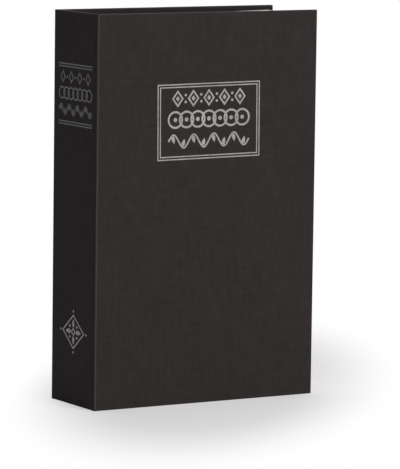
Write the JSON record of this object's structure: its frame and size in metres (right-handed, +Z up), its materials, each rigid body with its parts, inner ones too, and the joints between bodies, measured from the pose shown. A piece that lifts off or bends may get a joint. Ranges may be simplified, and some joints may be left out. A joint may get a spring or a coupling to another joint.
{
  "type": "book diversion safe",
  "caption": "Cloth-bound dictionary whose cover opens on a steel box with a hinged lid and a key-turned cam lock.",
  "frame": {"origin": "middle of the closed book's foot, on the surface that it stands on", "axes": "+X from the spine to the fore-edge, +Y from the front cover to the back cover, +Z up from tail to head"},
  "size_m": [0.155, 0.055, 0.24],
  "materials": {
    "book_cloth": "matt woven book cloth",
    "grey_board": "raw",
    "lining_paper": "matt",
    "page_paper": "trimmed edges",
    "black_enamel": "satin stoved enamel",
    "zinc_steel": "zinc plated",
    "bright_nickel": "nickel plated",
    "lock_brass": "turned"
  },
  "bodies": {
    "book_case": {"spine_board": "grey_board", "spine_cloth": "book_cloth", "spine_lining_paper": "lining_paper", "back_board": "grey_board", "back_cover_cloth": "book_cloth", "back_lining_paper": "lining_paper", "page_block_head": "page_paper", "page_block_tail": "page_paper", "page_block_fore_edge": "page_paper", "steel_box": "black_enamel", "hinge_box_leaf": "zinc_steel", "hinge_pin": "zinc_steel", "strike_bracket": "zinc_steel", "key_1": "bright_nickel", "key_2": "bright_nickel"},
    "front_cover": {"front_board": "grey_board", "front_cover_cloth": "book_cloth", "front_lining_paper": "lining_paper"},
    "box_lid": {"lid": "black_enamel", "hinge_lid_leaf": "zinc_steel", "lock_housing": "bright_nickel", "lock_washer": "zinc_steel", "lock_nut": "zinc_steel"},
    "lock_cylinder": {"lock_plug": "lock_brass", "lock_wafer_1": "lock_brass", "lock_wafer_2": "lock_brass", "lock_wafer_3": "lock_brass", "lock_wafer_4": "lock_brass", "lock_wafer_5": "lock_brass", "lock_cam": "zinc_steel", "cam_washer": "zinc_steel", "cam_screw": "zinc_steel"}
  },
  "joints": [
    {"name": "cover_hinge", "type": "hinge", "parent": "book_case", "child": "front_cover", "pos_m": [-0.0775, -0.0275, 0.12], "axis": [0, 0, -1], "range_deg": [0, 200]},
    {"name": "lid_hinge", "type": "hinge", "parent": "book_case", "child": "box_lid", "pos_m": [-0.07135, -0.02125, 0.12], "axis": [0, 0, -1], "range_deg": [0, 100]},
    {"name": "lock_turn", "type": "hinge", "parent": "box_lid", "child": "lock_cylinder", "pos_m": [0.048, -0.0224, 0.12], "axis": [0, -1, 0], "range_deg": [0, 90]}
  ],
  "couplings": [
    {"joint": "lid_hinge", "follows": "cover_hinge", "ratio": 0.5}
  ]
}
